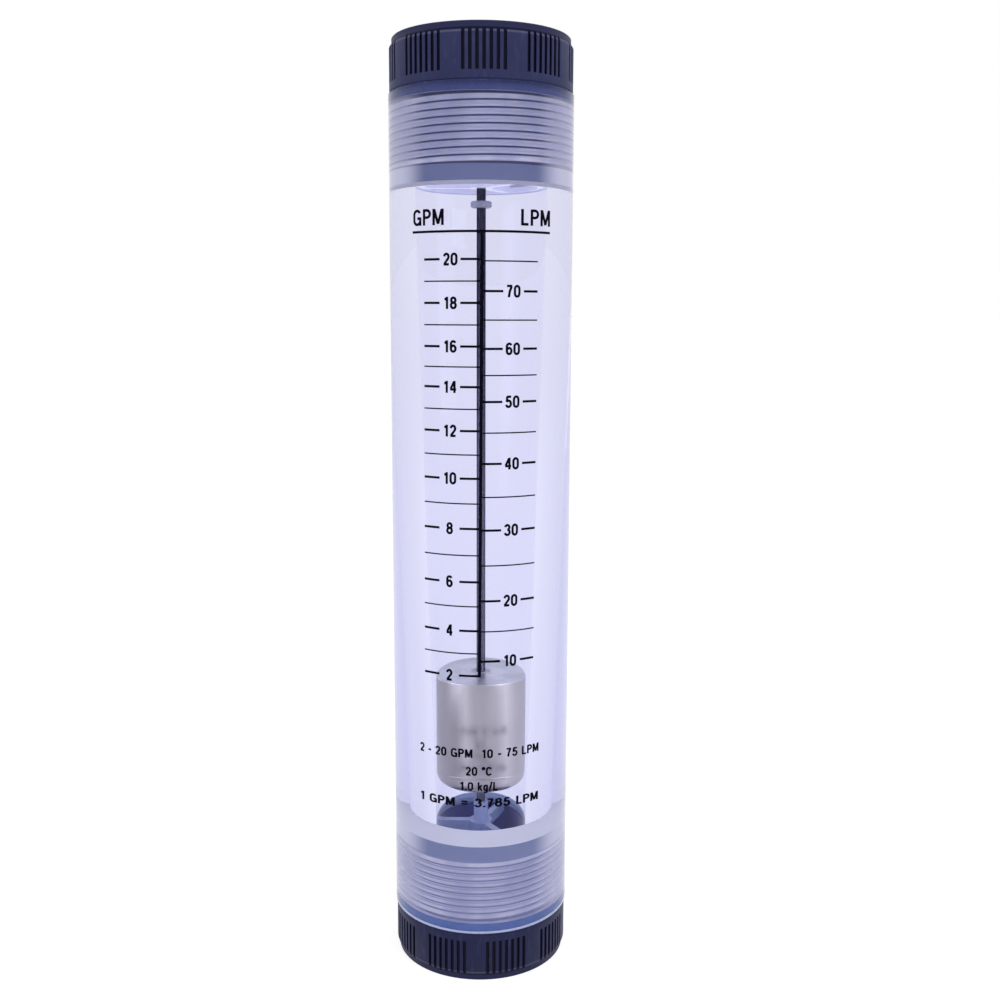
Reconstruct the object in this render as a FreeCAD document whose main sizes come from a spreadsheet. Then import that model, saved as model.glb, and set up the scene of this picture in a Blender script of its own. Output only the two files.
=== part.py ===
import FreeCAD, Part
import Sketcher
import os
import re

# In-line variable-area flow meter: a thick clear acrylic tube with a tapered metering bore,
# a steel float that rises on a guide rod, and a screwed end fitting at each end.
# Frame: +Z up along the tube, origin at the middle of the lower fitting's outer face,
# millimetres. The printed scale faces -Y.

doc = FreeCAD.newDocument("Rotameter")

SIZES = [
    # screwed joint between tube and fitting, which the other radii follow
    ("thread_radius", 23.0, "blunt crests of the skirt's G 1-1/2 thread"),
    ("thread_gap", 0.3, "radial, from those crests to the blunt crests in the tube"),
    ("thread_pitch", 2.309, "11 turns to the inch, right-hand"),
    ("thread_cut", 0.55, "depth of the helical groove in both walls"),
    ("thread_flat", 0.45, "width of that groove's floor"),
    ("thread_flank", 0.52, "width gained on each side per depth, a 55 degree thread"),
    ("thread_run_out", 1.5, "travel of the cutter past the ends of a threaded wall"),
    # acrylic tube
    ("tube_wall", 6.7, "acrylic outside the thread"),
    ("tube_length", 274.0, "between the two end faces"),
    ("tube_edge", 0.4, "broken edge at each end of the tube"),
    ("seal_pocket_depth", 2.8, "counterbore in each end face, and the height of the seal ring"),
    ("thread_depth", 24.0, "end of the tube's thread, from its end face"),
    ("relief_step", 0.6, "radial, plain bore behind the thread"),
    ("relief_depth", 29.0, "end of that plain bore, from the end face"),
    ("shoulder_rise", 0.466, "rise over run of the conical shoulder, 25 degrees"),
    ("metering_gap", 0.4, "radial, round the float at the lower end of the tapered bore"),
    # end fittings
    ("head_height", 17.0, "ribbed head of a fitting"),
    ("head_step", 0.4, "radial, from the tube's outside to the head's"),
    ("rim_step", 0.8, "radial, from the head in to the plain rim at the outer face"),
    ("rim_height", 1.9, "of that rim"),
    ("rim_slope", 1.2, "height of the slope from the rim out to the head"),
    ("rim_edge", 0.3, "broken edge at the outer face"),
    ("head_edge", 0.4, "at the tube side"),
    ("pilot_step", 0.8, "radial, from the thread to the plain end of the skirt"),
    ("pilot_length", 2.4, "plain end of the skirt"),
    ("skirt_wall", 3.2, "of the plain end, round the chamber inside the skirt"),
    ("pipe_thread_radius", 15.145, "female G 1 thread, minor radius"),
    ("pipe_thread_length", 19.0, "from the outer face"),
    ("pipe_chamfer", 1.2, "lead-in of the pipe thread"),
    ("flow_radius", 14.0, "throat that stops the pipe"),
    ("flow_length", 3.0, "length of the throat"),
    # grip grooves of the heads
    ("grip_depth", 0.7, "of a groove, which runs out over the rim"),
    ("grip_width", 1.1, "of a groove"),
    ("grip_length", 12.7, "of a groove"),
    ("grip_margin", 2.8, "from the head's tube side to the grooves"),
    ("grip_pitch", 4.15, "angle between grooves in a group"),
    ("grip_count", 7, "grooves in a group"),
    ("grip_groups", 9, "groups round a head"),
    ("upper_grip_turn", 1.7, "angle of a group's middle from the front, upper head"),
    ("lower_grip_turn", 17.0, "the same, lower head"),
    # seal ring and cushion ring
    ("seal_gap", 0.3, "radial, on both sides of the seal ring"),
    ("seal_width", 3.0, "radial, of the seal ring"),
    ("seal_round", 0.9, "rounding of the seal ring"),
    ("cushion_thickness", 1.0, "rubber ring between the skirt and the rod holder"),
    ("cushion_width", 2.8, "radial, of that ring"),
    # rod holders
    ("holder_gap", 0.7, "radial, from the thread to the outside of a holder's ring"),
    ("holder_seat", 0.7, "radial, of the ring on the shoulder of the wide end of the bore"),
    ("holder_ring_width", 3.9, "radial, of the ring"),
    ("holder_ring_thickness", 1.6, "of the ring"),
    ("holder_seat_gap", 0.05, "axial, between the ring and the conical shoulder"),
    ("leg_count", 3, "legs from the ring to the boss"),
    ("leg_width", 2.4, "of a leg"),
    ("leg_height", 4.0, "of a leg, along the tube"),
    ("leg_overlap", 0.2, "how far a leg runs into the ring and the boss"),
    ("boss_radius", 4.0, "of a holder's boss"),
    ("boss_height", 5.2, "of the boss, outwards from the ring's inner face"),
    ("sleeve_radius", 2.5, "tube on the lower holder's boss"),
    ("sleeve_height", 6.8, "of that tube"),
    # rod and its fasteners
    ("rod_radius", 1.5, "M3 guide rod"),
    ("rod_end", 1.0, "rod beyond each nut"),
    ("rod_chamfer", 0.3, "at both ends"),
    ("fit_gap", 0.02, "radial, where one piece is pressed or screwed on another"),
    ("nut_across_flats", 5.5, "M3 nut"),
    ("nut_height", 2.4, "M3 nut"),
    ("washer_radius", 3.5, "M3 washer"),
    ("washer_thickness", 0.5, "M3 washer"),
    # float and its stops
    ("float_radius", 15.6, "outside of the float"),
    ("float_length", 39.3, "of the float"),
    ("float_nose", 6.6, "rounding of the float's lower end"),
    ("float_edge", 0.3, "broken edge at its upper end"),
    ("float_bore", 2.3, "clearance bore between the bushes"),
    ("float_rest", 14.0, "underside of the resting float, from the lower holder's ring"),
    ("upper_stop_drop", 6.2, "underside of the upper stop, from the upper holder's ring"),
    ("bush_radius", 3.5, "outside of a float bush"),
    ("bush_length", 8.0, "of a float bush"),
    ("running_gap", 0.1, "radial, between a bush and the rod"),
    ("stop_radius", 3.5, "outside of a stop collar"),
    ("stop_thickness", 2.2, "of a stop collar"),
    ("stop_round", 0.8, "rounding of a stop collar"),
]

sheet = doc.addObject("Spreadsheet::Sheet", "Sizes")
for row, (alias, value, meaning) in enumerate(SIZES, start=1):
    sheet.set(f"A{row}", alias)
    sheet.set(f"B{row}", str(value))
    sheet.set(f"C{row}", meaning)
    sheet.setAlias(f"B{row}", alias)
doc.recompute()

ALIASES = {alias for alias, value, meaning in SIZES}


def bound(words):
    """Turns words of the size list into an expression on the sheet."""
    return re.sub("[a-z_]+", lambda word: "Sizes." * (word[0] in ALIASES) + word[0], words)


# ---------------------------------------------------------------- radii and heights

THREAD_BORE = "( thread_radius + thread_gap )"
TUBE_RADIUS = f"( {THREAD_BORE} + tube_wall )"
HEAD_RADIUS = f"( {TUBE_RADIUS} - head_step )"
RIM_RADIUS = f"( {HEAD_RADIUS} - rim_step )"
SEAL_INNER = "( thread_radius + seal_gap )"
SEAL_OUTER = f"( {SEAL_INNER} + seal_width )"
SEAL_POCKET = f"( {SEAL_OUTER} + seal_gap )"
RELIEF_RADIUS = f"( {THREAD_BORE} + relief_step )"
PILOT_RADIUS = "( thread_radius - pilot_step )"
SKIRT_BORE = f"( {PILOT_RADIUS} - skirt_wall )"
HOLDER_RADIUS = "( thread_radius - holder_gap )"
HOLDER_INNER = f"( {HOLDER_RADIUS} - holder_ring_width )"
METERING_RADIUS = {
    "lower": "( float_radius + metering_gap )",
    "upper": f"( {HOLDER_RADIUS} - holder_seat )",
}
ROD_HOLE = "( rod_radius + fit_gap )"

TUBE_BOTTOM = "head_height"
TUBE_TOP = "( head_height + tube_length )"
TOTAL = "( 2 * head_height + tube_length )"

# depths from a tube end face inwards, the same at both ends
RING_SEAT = f"( relief_depth + ( {RELIEF_RADIUS} - {HOLDER_RADIUS} ) * shoulder_rise )"
RING_INNER = f"( {RING_SEAT} - holder_seat_gap )"
RING_OUTER = f"( {RING_INNER} - holder_ring_thickness )"
SKIRT_END = f"( {RING_OUTER} - cushion_thickness )"
BOSS_OUTER = f"( {RING_INNER} - boss_height )"
WASHER_OUTER = f"( {BOSS_OUTER} - washer_thickness )"
NUT_OUTER = f"( {WASHER_OUTER} - nut_height )"
ROD_TIP = f"( {NUT_OUTER} - rod_end )"

FLOAT_BOTTOM = f"( {TUBE_BOTTOM} + {RING_INNER} + float_rest )"
FLOAT_TOP = f"( {FLOAT_BOTTOM} + float_length )"
UPPER_STOP = f"( {TUBE_TOP} - {RING_INNER} - upper_stop_drop )"


def height(end, depth):
    """Height of a depth that is counted inwards from the tube's lower or upper end face."""
    return f"( {TUBE_BOTTOM} + {depth} )" if end == "lower" else f"( {TUBE_TOP} - {depth} )"


def outer_height(end, depth):
    """Height of a depth that is counted inwards from the outer face of a fitting."""
    return f"( 0 + {depth} )" if end == "lower" else f"( {TOTAL} - {depth} )"


# ---------------------------------------------------------------- builders

def origin_plane(body, role):
    for feature in body.Origin.OriginFeatures:
        if feature.Role == role:
            return feature
    raise ValueError(role)


def new_body(name):
    body = doc.addObject("PartDesign::Body", name)
    body.Label = name
    return body


def new_sketch(body, name, role):
    sketch = body.newObject("Sketcher::SketchObject", name)
    sketch.AttachmentSupport = (origin_plane(body, role), [""])
    sketch.MapMode = "FlatFace"
    return sketch


def outline(sketch, corners):
    """Closed outline whose corners are dimensioned from the origin, as (across, up) sizes."""
    points = []
    for across, up in corners:
        points.append(FreeCAD.Vector(size_now(across), size_now(up), 0))
    count = len(points)
    for i in range(count):
        sketch.addGeometry(Part.LineSegment(points[i], points[(i + 1) % count]), False)
    for i in range(count):
        sketch.addConstraint(Sketcher.Constraint("Coincident", i, 2, (i + 1) % count, 1))
    for i, (across, up) in enumerate(corners):
        for kind, size, value in (("DistanceX", across, points[i].x), ("DistanceY", up, points[i].y)):
            if abs(value) < 1e-9:
                axis = -2 if kind == "DistanceX" else -1
                sketch.addConstraint(Sketcher.Constraint("PointOnObject", i, 1, axis))
                continue
            index = sketch.addConstraint(Sketcher.Constraint(kind, -1, 1, i, 1, value))
            sketch.setExpression(f"Constraints[{index}]", bound(size))


def size_now(words):
    """Value of a size expression as the sheet stands."""
    return float(FreeCAD.Units.Quantity(sheet.evalExpression(bound(words))).Value)


def turned(body, name, corners):
    """Lathe-turned section about Z, with corners as (radius, height) sizes."""
    sketch = new_sketch(body, f"{name}_section", "XZ_Plane")
    outline(sketch, corners)
    turn = body.newObject("PartDesign::Revolution", f"{name}_turn")
    turn.Profile = sketch
    turn.ReferenceAxis = (sketch, ["V_Axis"])
    turn.Angle = 360
    sketch.Visibility = False
    body.Tip = turn
    doc.recompute()
    return turn


def turned_body(name, corners):
    body = new_body(name)
    turned(body, name, corners)
    return body


def circle_edges(feature, radius, z):
    """Names of the feature's full circles of this radius at this height."""
    names = []
    for i, edge in enumerate(feature.Shape.Edges, start=1):
        curve = edge.Curve
        if curve.TypeId == "Part::GeomCircle" and abs(curve.Radius - radius) < 1e-6:
            if abs(curve.Center.z - z) < 1e-6:
                names.append(f"Edge{i}")
    return names


def rounded(body, name, kind, size, circles):
    """Fillet or chamfer on circles given as (radius, height) sizes."""
    base = body.Tip
    names = []
    for radius, z in circles:
        names += circle_edges(base, size_now(radius), size_now(z))
    dress = body.newObject(f"PartDesign::{kind}", name)
    dress.Base = (base, names)
    dress.setExpression("Radius" if kind == "Fillet" else "Size", bound(size))
    body.Tip = dress
    doc.recompute()
    return dress


def ring(name, inner, outer, low, high):
    """Plain ring between two radii and two heights."""
    return turned_body(name, [(inner, low), (outer, low), (outer, high), (inner, high)])


def screw_thread(body, name, root, clear, start, turn, stop):
    """Right-hand helical groove that starts near one height and stops at another.

    root is the radius of its floor and clear a radius in the open beside the wall. turn shifts
    the start by pitches from a whole one, so that ridges and grooves of a joint lie together.
    """
    before = body.Shape.Volume
    first = f"( ( floor( {start} / thread_pitch ) {turn} ) * thread_pitch )"
    floor_half = "thread_flat / 2"
    mouth_half = f"( {floor_half} + abs( {clear} - {root} ) * thread_flank )"
    sketch = new_sketch(body, f"{name}_thread_outline", "XZ_Plane")
    outline(sketch, [
        (root, f"( {first} - {floor_half} )"),
        (clear, f"( {first} - {mouth_half} )"),
        (clear, f"( {first} + {mouth_half} )"),
        (root, f"( {first} + {floor_half} )"),
    ])
    groove = body.newObject("PartDesign::SubtractiveHelix", f"{name}_thread")
    groove.Profile = sketch
    groove.ReferenceAxis = (sketch, ["V_Axis"])
    groove.Mode = 0
    groove.Angle = 0
    groove.setExpression("Pitch", bound("thread_pitch"))
    groove.setExpression("Height", bound(f"( {stop} - {first} )"))
    sketch.Visibility = False
    body.Tip = groove
    doc.recompute()
    if before - body.Shape.Volume < 1:
        raise ValueError(f"the thread {name} cut nothing")


# ---------------------------------------------------------------- tube

def metering_tube():
    edge = f"( {TUBE_RADIUS} - tube_edge )"
    corners = [
        (edge, TUBE_BOTTOM),
        (TUBE_RADIUS, height("lower", "tube_edge")),
        (TUBE_RADIUS, height("upper", "tube_edge")),
        (edge, TUBE_TOP),
    ]
    inside = []
    for end in ("upper", "lower"):
        mouth = METERING_RADIUS[end]
        shoulder = f"( relief_depth + ( {RELIEF_RADIUS} - {mouth} ) * shoulder_rise )"
        steps = [
            (SEAL_POCKET, height(end, "0")),
            (SEAL_POCKET, height(end, "seal_pocket_depth")),
            (THREAD_BORE, height(end, "seal_pocket_depth")),
            (THREAD_BORE, height(end, "thread_depth")),
            (RELIEF_RADIUS, height(end, "thread_depth")),
            (RELIEF_RADIUS, height(end, "relief_depth")),
            (mouth, height(end, shoulder)),
        ]
        inside += steps if end == "upper" else steps[::-1]
    body = turned_body("metering_tube", corners + inside)
    root = f"( {THREAD_BORE} + thread_cut )"
    for end in ("lower", "upper"):
        in_pocket = height(end, "( seal_pocket_depth - thread_run_out )")
        in_relief = height(end, "( thread_depth + thread_run_out )")
        low, high = (in_pocket, in_relief) if end == "lower" else (in_relief, in_pocket)
        screw_thread(body, f"{end}_tube", root, "thread_radius", low, "+ 0", high)
    return body


# ---------------------------------------------------------------- end fittings

def end_fitting(end):
    """Ribbed head, threaded skirt towards the tube, female pipe thread from the outer face."""
    name = f"{end}_end_fitting"
    thread_end = f"( {SKIRT_END} - pilot_length )"
    throat_end = "( pipe_thread_length + flow_length )"
    throat_step = "( pipe_thread_radius - flow_radius )"
    chamber_start = f"( {throat_end} + {SKIRT_BORE} - flow_radius )"
    corners = [
        ("( pipe_thread_radius + pipe_chamfer )", outer_height(end, "0")),
        (f"( {RIM_RADIUS} - rim_edge )", outer_height(end, "0")),
        (RIM_RADIUS, outer_height(end, "rim_edge")),
        (RIM_RADIUS, outer_height(end, "rim_height")),
        (HEAD_RADIUS, outer_height(end, "( rim_height + rim_slope )")),
        (HEAD_RADIUS, outer_height(end, "( head_height - head_edge )")),
        (f"( {HEAD_RADIUS} - head_edge )", height(end, "0")),
        ("thread_radius", height(end, "0")),
        ("thread_radius", height(end, thread_end)),
        (PILOT_RADIUS, height(end, f"( {thread_end} + pilot_step )")),
        (PILOT_RADIUS, height(end, SKIRT_END)),
        (SKIRT_BORE, height(end, SKIRT_END)),
        (SKIRT_BORE, outer_height(end, chamber_start)),
        ("flow_radius", outer_height(end, throat_end)),
        ("flow_radius", outer_height(end, f"( pipe_thread_length + {throat_step} )")),
        ("pipe_thread_radius", outer_height(end, "pipe_thread_length")),
        ("pipe_thread_radius", outer_height(end, "pipe_chamfer")),
    ]
    body = turned_body(name, corners)
    past_thread = height(end, f"( {thread_end} + thread_run_out )")
    beside_head = height(end, "thread_run_out")
    root = "( thread_radius - thread_cut )"
    if end == "lower":
        screw_thread(body, name, root, THREAD_BORE, beside_head, "+ 1.5", past_thread)
    else:
        screw_thread(body, name, root, THREAD_BORE, past_thread, "- 0.5", beside_head)
    grip_grooves(body, end)
    return body


def grip_grooves(body, end):
    """Groups of straight grooves cut round the head for a better grip."""
    before = body.Shape.Volume
    sketch = new_sketch(body, f"{end}_groove_outline", "XY_Plane")
    deep = f"( {HEAD_RADIUS} - grip_depth )"
    beyond = f"( {HEAD_RADIUS} + grip_depth )"
    half = "grip_width / 2"
    outline(sketch, [(deep, f"( 0 - {half} )"), (beyond, f"( 0 - {half} )"), (beyond, half), (deep, half)])
    low_start = "( head_height - grip_margin - grip_length )"
    start = low_start if end == "lower" else f"( {TUBE_TOP} + grip_margin )"
    first = f"( {end}_grip_turn - 90 - ( grip_count - 1 ) / 2 * grip_pitch )"
    sketch.AttachmentOffset = FreeCAD.Placement(
        FreeCAD.Vector(0, 0, size_now(start)),
        FreeCAD.Rotation(FreeCAD.Vector(0, 0, 1), size_now(first)),
    )
    sketch.setExpression("AttachmentOffset.Base.z", bound(start))
    sketch.setExpression("AttachmentOffset.Rotation.Angle", bound(first))
    groove = body.newObject("PartDesign::Pocket", f"{end}_groove")
    groove.Profile = sketch
    groove.Type = "Length"
    groove.setExpression("Length", bound("grip_length"))
    groove.Reversed = True
    sketch.Visibility = False
    body.Tip = groove
    doc.recompute()
    one = before - body.Shape.Volume
    pattern = body.newObject("PartDesign::MultiTransform", f"{end}_grip")
    pattern.Originals = [groove]
    group = body.newObject("PartDesign::PolarPattern", f"{end}_grip_group")
    group.Axis = (origin_plane(body, "Z_Axis"), [""])
    group.setExpression("Angle", bound("( grip_count - 1 ) * grip_pitch"))
    group.setExpression("Occurrences", bound("grip_count"))
    round_head = body.newObject("PartDesign::PolarPattern", f"{end}_grip_round")
    round_head.Axis = (origin_plane(body, "Z_Axis"), [""])
    round_head.Angle = 360
    round_head.setExpression("Occurrences", bound("grip_groups"))
    pattern.Transformations = [group, round_head]
    body.Tip = pattern
    doc.recompute()
    cut = before - body.Shape.Volume
    wanted = one * size_now("grip_count * grip_groups")
    if one <= 0 or abs(cut - wanted) > 0.01 * wanted:
        raise ValueError(f"{end} grip grooves cut {cut:.1f}, not {wanted:.1f}")


def seal_ring(end):
    """Rubber ring squeezed between the head and the floor of the tube's counterbore."""
    name = f"{end}_seal_ring"
    body = ring(name, SEAL_INNER, SEAL_OUTER, height(end, "0"), height(end, "seal_pocket_depth"))
    circles = []
    for radius in (SEAL_INNER, SEAL_OUTER):
        for depth in ("0", "seal_pocket_depth"):
            circles.append((radius, height(end, depth)))
    rounded(body, f"{name}_round", "Fillet", "seal_round", circles)
    return body


def cushion_ring(end):
    inner = f"( {PILOT_RADIUS} - cushion_width )"
    return ring(f"{end}_cushion_ring", inner, PILOT_RADIUS, height(end, SKIRT_END), height(end, RING_OUTER))


# ---------------------------------------------------------------- rod holders

def rod_holder(end):
    """Ring against the conical shoulder, three legs and a boss that carries the rod."""
    name = f"{end}_rod_holder"
    body = new_body(name)
    inner_face = height(end, RING_INNER)
    outer_face = height(end, RING_OUTER)
    turned(body, f"{name}_ring", [
        (HOLDER_INNER, outer_face),
        (HOLDER_RADIUS, outer_face),
        (HOLDER_RADIUS, inner_face),
        (HOLDER_INNER, inner_face),
    ])
    sketch = new_sketch(body, f"{name}_leg_outline", "XY_Plane")
    near = "( 0 - boss_radius + leg_overlap )"
    far = f"( 0 - {HOLDER_INNER} - leg_overlap )"
    half = "leg_width / 2"
    outline(sketch, [(far, f"( 0 - {half} )"), (near, f"( 0 - {half} )"), (near, half), (far, half)])
    base = height(end, f"( {RING_INNER} - leg_height )") if end == "lower" else inner_face
    sketch.AttachmentOffset = FreeCAD.Placement(FreeCAD.Vector(0, 0, size_now(base)), FreeCAD.Rotation())
    sketch.setExpression("AttachmentOffset.Base.z", bound(base))
    leg = body.newObject("PartDesign::Pad", f"{name}_leg")
    leg.Profile = sketch
    leg.setExpression("Length", bound("leg_height"))
    sketch.Visibility = False
    body.Tip = leg
    doc.recompute()
    legs = body.newObject("PartDesign::PolarPattern", f"{name}_legs")
    legs.Originals = [leg]
    legs.Axis = (sketch, ["N_Axis"])
    legs.Angle = 360
    legs.setExpression("Occurrences", bound("leg_count"))
    body.Tip = legs
    doc.recompute()
    boss_face = height(end, BOSS_OUTER)
    corners = [(ROD_HOLE, boss_face), ("boss_radius", boss_face), ("boss_radius", inner_face)]
    if end == "lower":
        sleeve_top = height(end, f"( {RING_INNER} + sleeve_height )")
        corners += [("sleeve_radius", inner_face), ("sleeve_radius", sleeve_top), (ROD_HOLE, sleeve_top)]
    else:
        corners.append((ROD_HOLE, inner_face))
    turned(body, f"{name}_boss", corners)
    return body


# ---------------------------------------------------------------- rod and fasteners

def guide_rod():
    body = new_body("guide_rod")
    sketch = new_sketch(body, "guide_rod_section", "XY_Plane")
    centre = FreeCAD.Vector(0, 0, 0)
    up = FreeCAD.Vector(0, 0, 1)
    sketch.addGeometry(Part.Circle(centre, up, size_now("rod_radius")), False)
    sketch.addConstraint(Sketcher.Constraint("Coincident", 0, 3, -1, 1))
    index = sketch.addConstraint(Sketcher.Constraint("Radius", 0, size_now("rod_radius")))
    sketch.setExpression(f"Constraints[{index}]", bound("rod_radius"))
    low = height("lower", ROD_TIP)
    high = height("upper", ROD_TIP)
    sketch.AttachmentOffset = FreeCAD.Placement(FreeCAD.Vector(0, 0, size_now(low)), FreeCAD.Rotation())
    sketch.setExpression("AttachmentOffset.Base.z", bound(low))
    rod = body.newObject("PartDesign::Pad", "guide_rod_bar")
    rod.Profile = sketch
    rod.setExpression("Length", bound(f"{high} - {low}"))
    sketch.Visibility = False
    body.Tip = rod
    doc.recompute()
    rounded(body, "guide_rod_ends", "Chamfer", "rod_chamfer", [("rod_radius", low), ("rod_radius", high)])
    return body


def rod_washer(end):
    low = height(end, WASHER_OUTER)
    high = height(end, BOSS_OUTER)
    return ring(f"{end}_rod_washer", ROD_HOLE, "washer_radius", low, high)


def rod_nut(end):
    name = f"{end}_rod_nut"
    low = height(end, NUT_OUTER) if end == "lower" else height(end, WASHER_OUTER)
    hexagon = doc.addObject("Part::Prism", f"{name}_hexagon")
    hexagon.Polygon = 6
    hexagon.setExpression("Circumradius", bound("nut_across_flats / sqrt(3)"))
    hexagon.setExpression("Height", bound("nut_height"))
    hexagon.setExpression("Placement.Base.z", bound(low))
    hole = doc.addObject("Part::Cylinder", f"{name}_hole")
    hole.setExpression("Radius", bound(ROD_HOLE))
    hole.setExpression("Height", bound("nut_height"))
    hole.setExpression("Placement.Base.z", bound(low))
    nut = doc.addObject("Part::Cut", name)
    nut.Label = name
    nut.Base = hexagon
    nut.Tool = hole
    doc.recompute()
    return nut


# ---------------------------------------------------------------- float and stops

def float_body():
    pocket = "( bush_radius + fit_gap )"
    low_pocket = f"( {FLOAT_BOTTOM} + bush_length )"
    high_pocket = f"( {FLOAT_TOP} - bush_length )"
    body = turned_body("float_body", [
        (pocket, FLOAT_BOTTOM),
        ("float_radius", FLOAT_BOTTOM),
        ("float_radius", f"( {FLOAT_TOP} - float_edge )"),
        ("( float_radius - float_edge )", FLOAT_TOP),
        (pocket, FLOAT_TOP),
        (pocket, high_pocket),
        ("float_bore", high_pocket),
        ("float_bore", low_pocket),
        (pocket, low_pocket),
    ])
    rounded(body, "float_nose_round", "Fillet", "float_nose", [("float_radius", FLOAT_BOTTOM)])
    return body


def float_bush(end):
    hole = "( rod_radius + running_gap )"
    low = FLOAT_BOTTOM if end == "lower" else f"( {FLOAT_TOP} - bush_length )"
    high = f"( {FLOAT_BOTTOM} + bush_length )" if end == "lower" else FLOAT_TOP
    return ring(f"float_{end}_bush", hole, "bush_radius", low, high)


def stop_collar(end):
    name = f"{end}_stop_collar"
    low = f"( {FLOAT_BOTTOM} - stop_thickness )" if end == "lower" else UPPER_STOP
    high = FLOAT_BOTTOM if end == "lower" else f"( {UPPER_STOP} + stop_thickness )"
    body = ring(name, ROD_HOLE, "stop_radius", low, high)
    circles = [("stop_radius", low), ("stop_radius", high)]
    rounded(body, f"{name}_round", "Fillet", "stop_round", circles)
    return body


# ---------------------------------------------------------------- build and write

pieces = [metering_tube(), guide_rod(), float_body()]
for end in ("upper", "lower"):
    pieces.append(end_fitting(end))
    pieces.append(seal_ring(end))
    pieces.append(cushion_ring(end))
    pieces.append(rod_holder(end))
    pieces.append(rod_washer(end))
    pieces.append(rod_nut(end))
    pieces.append(stop_collar(end))
    pieces.append(float_bush(end))
doc.recompute()

for thing in doc.Objects:
    if "Invalid" in thing.State or "Error" in thing.State:
        raise ValueError(f"{thing.Name} failed: {thing.State}")
for piece in pieces:
    if piece.Shape.isNull() or not piece.Shape.isValid() or len(piece.Shape.Solids) != 1:
        raise ValueError(f"{piece.Label} is not one valid solid")

os.makedirs("parts", exist_ok=True)
for piece in pieces:
    piece.Shape.exportStep(f"parts/{piece.Label}.step")
    box = piece.Shape.BoundBox
    print(f"{piece.Label}: z {box.ZMin:.2f} to {box.ZMax:.2f}, volume {piece.Shape.Volume:.0f}")
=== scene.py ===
"""An upright acrylic flow meter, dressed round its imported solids."""

import math

import bmesh
import bpy
from mathutils import Matrix, Vector


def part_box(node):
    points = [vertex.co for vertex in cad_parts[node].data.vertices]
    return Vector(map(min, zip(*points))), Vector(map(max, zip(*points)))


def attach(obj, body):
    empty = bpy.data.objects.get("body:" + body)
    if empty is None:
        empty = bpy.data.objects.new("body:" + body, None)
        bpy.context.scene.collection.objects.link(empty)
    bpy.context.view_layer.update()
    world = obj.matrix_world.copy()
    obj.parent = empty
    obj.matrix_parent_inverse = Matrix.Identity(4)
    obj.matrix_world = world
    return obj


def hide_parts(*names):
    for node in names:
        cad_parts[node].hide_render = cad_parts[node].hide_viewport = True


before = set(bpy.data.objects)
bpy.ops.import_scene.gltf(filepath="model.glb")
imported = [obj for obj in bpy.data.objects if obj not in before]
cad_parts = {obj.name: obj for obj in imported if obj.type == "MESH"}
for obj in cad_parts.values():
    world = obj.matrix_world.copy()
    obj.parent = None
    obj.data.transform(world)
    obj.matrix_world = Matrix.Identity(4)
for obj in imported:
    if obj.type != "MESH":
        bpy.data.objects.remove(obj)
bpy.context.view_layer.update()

MM = 0.001
TURN = 2.0 * math.pi
SCENE = bpy.context.scene

# ------------------------------------------------------------------ sizes, mm

TUBE_LOW, TUBE_HIGH = (corner.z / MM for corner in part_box("metering_tube"))
METER_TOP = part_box("upper_end_fitting")[1].z / MM
TUBE_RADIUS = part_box("metering_tube")[1].x / MM
HEAD_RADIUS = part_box("upper_end_fitting")[1].x / MM
HEAD_HEIGHT = METER_TOP - TUBE_HIGH
SKIRT_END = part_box("lower_end_fitting")[1].z / MM
FLOAT_LOW, FLOAT_HIGH = (corner.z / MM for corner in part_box("float_body"))
FLOAT_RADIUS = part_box("float_body")[1].x / MM

MIDDLE = METER_TOP / 2      # height of the meter's middle

COLUMNS = 180               # steps in a full turn of every turned piece
PITCH = 2.309               # 11 turns to the inch
THREAD_RADIUS = 23.16       # middle line of the G 1-1/2 thread
THREAD_GAP = 0.06           # from the middle line to each of the two threads
THREAD_REACH = 0.74         # from a thread's middle to its crests and its roots
THREAD_END = 24.0           # depth of the tube's thread below its end
RELIEF_RADIUS, RELIEF_END = 23.9, 29.0
SHOULDER_RISE = 0.466       # of the cone between relief and bore, along over across
MOUTH = {"lower": 16.0, "upper": 21.6}      # radius of the metering bore at its ends
SEAL_POCKET, SEAL_DEPTH = 26.6, 2.8
TUBE_EDGE = 0.4
SKIRT_THREAD_END = 24.7
SKIRT_ROOT, PILOT_RADIUS, CHAMBER_RADIUS = 22.4, 22.2, 19.0
PILOT_EDGE = 0.2
PIPE_MINOR, PIPE_MIDDLE, PIPE_LENGTH = 15.145, 15.885, 19.0
THROAT_RADIUS, THROAT_END = 14.0, 22.0
PIPE_CHAMFER = 1.2
THREAD_ROWS, PIPE_ROWS = 170, 78            # rows of faces along each thread

GRIP_GROUPS, GRIP_COUNT = 9, 7              # groups of grooves, and grooves in each
GRIP_STEP = 4.15 / 2.0      # degrees across one groove or one rib
GRIP_SPAN = 2 * GRIP_COUNT - 1              # steps from a group's first groove to its last
GROUP_ANGLE = 360.0 / GRIP_GROUPS
GRIP_FLOOR, GRIP_TOP = HEAD_RADIUS - 0.7, 14.2
GRIP_LIP = 0.1
GRIP_MIDDLE = {"lower": -73.0, "upper": -88.3}      # plan angle of one group's middle
RIM_RADIUS, RIM_TOP, RIM_SLOPE = HEAD_RADIUS - 0.8, 1.9, 1.2
RIM_EDGE, HEAD_EDGE = 0.3, 0.4
HEAD_SHOULDER = RIM_TOP + RIM_SLOPE         # height at which the head has its full radius

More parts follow.
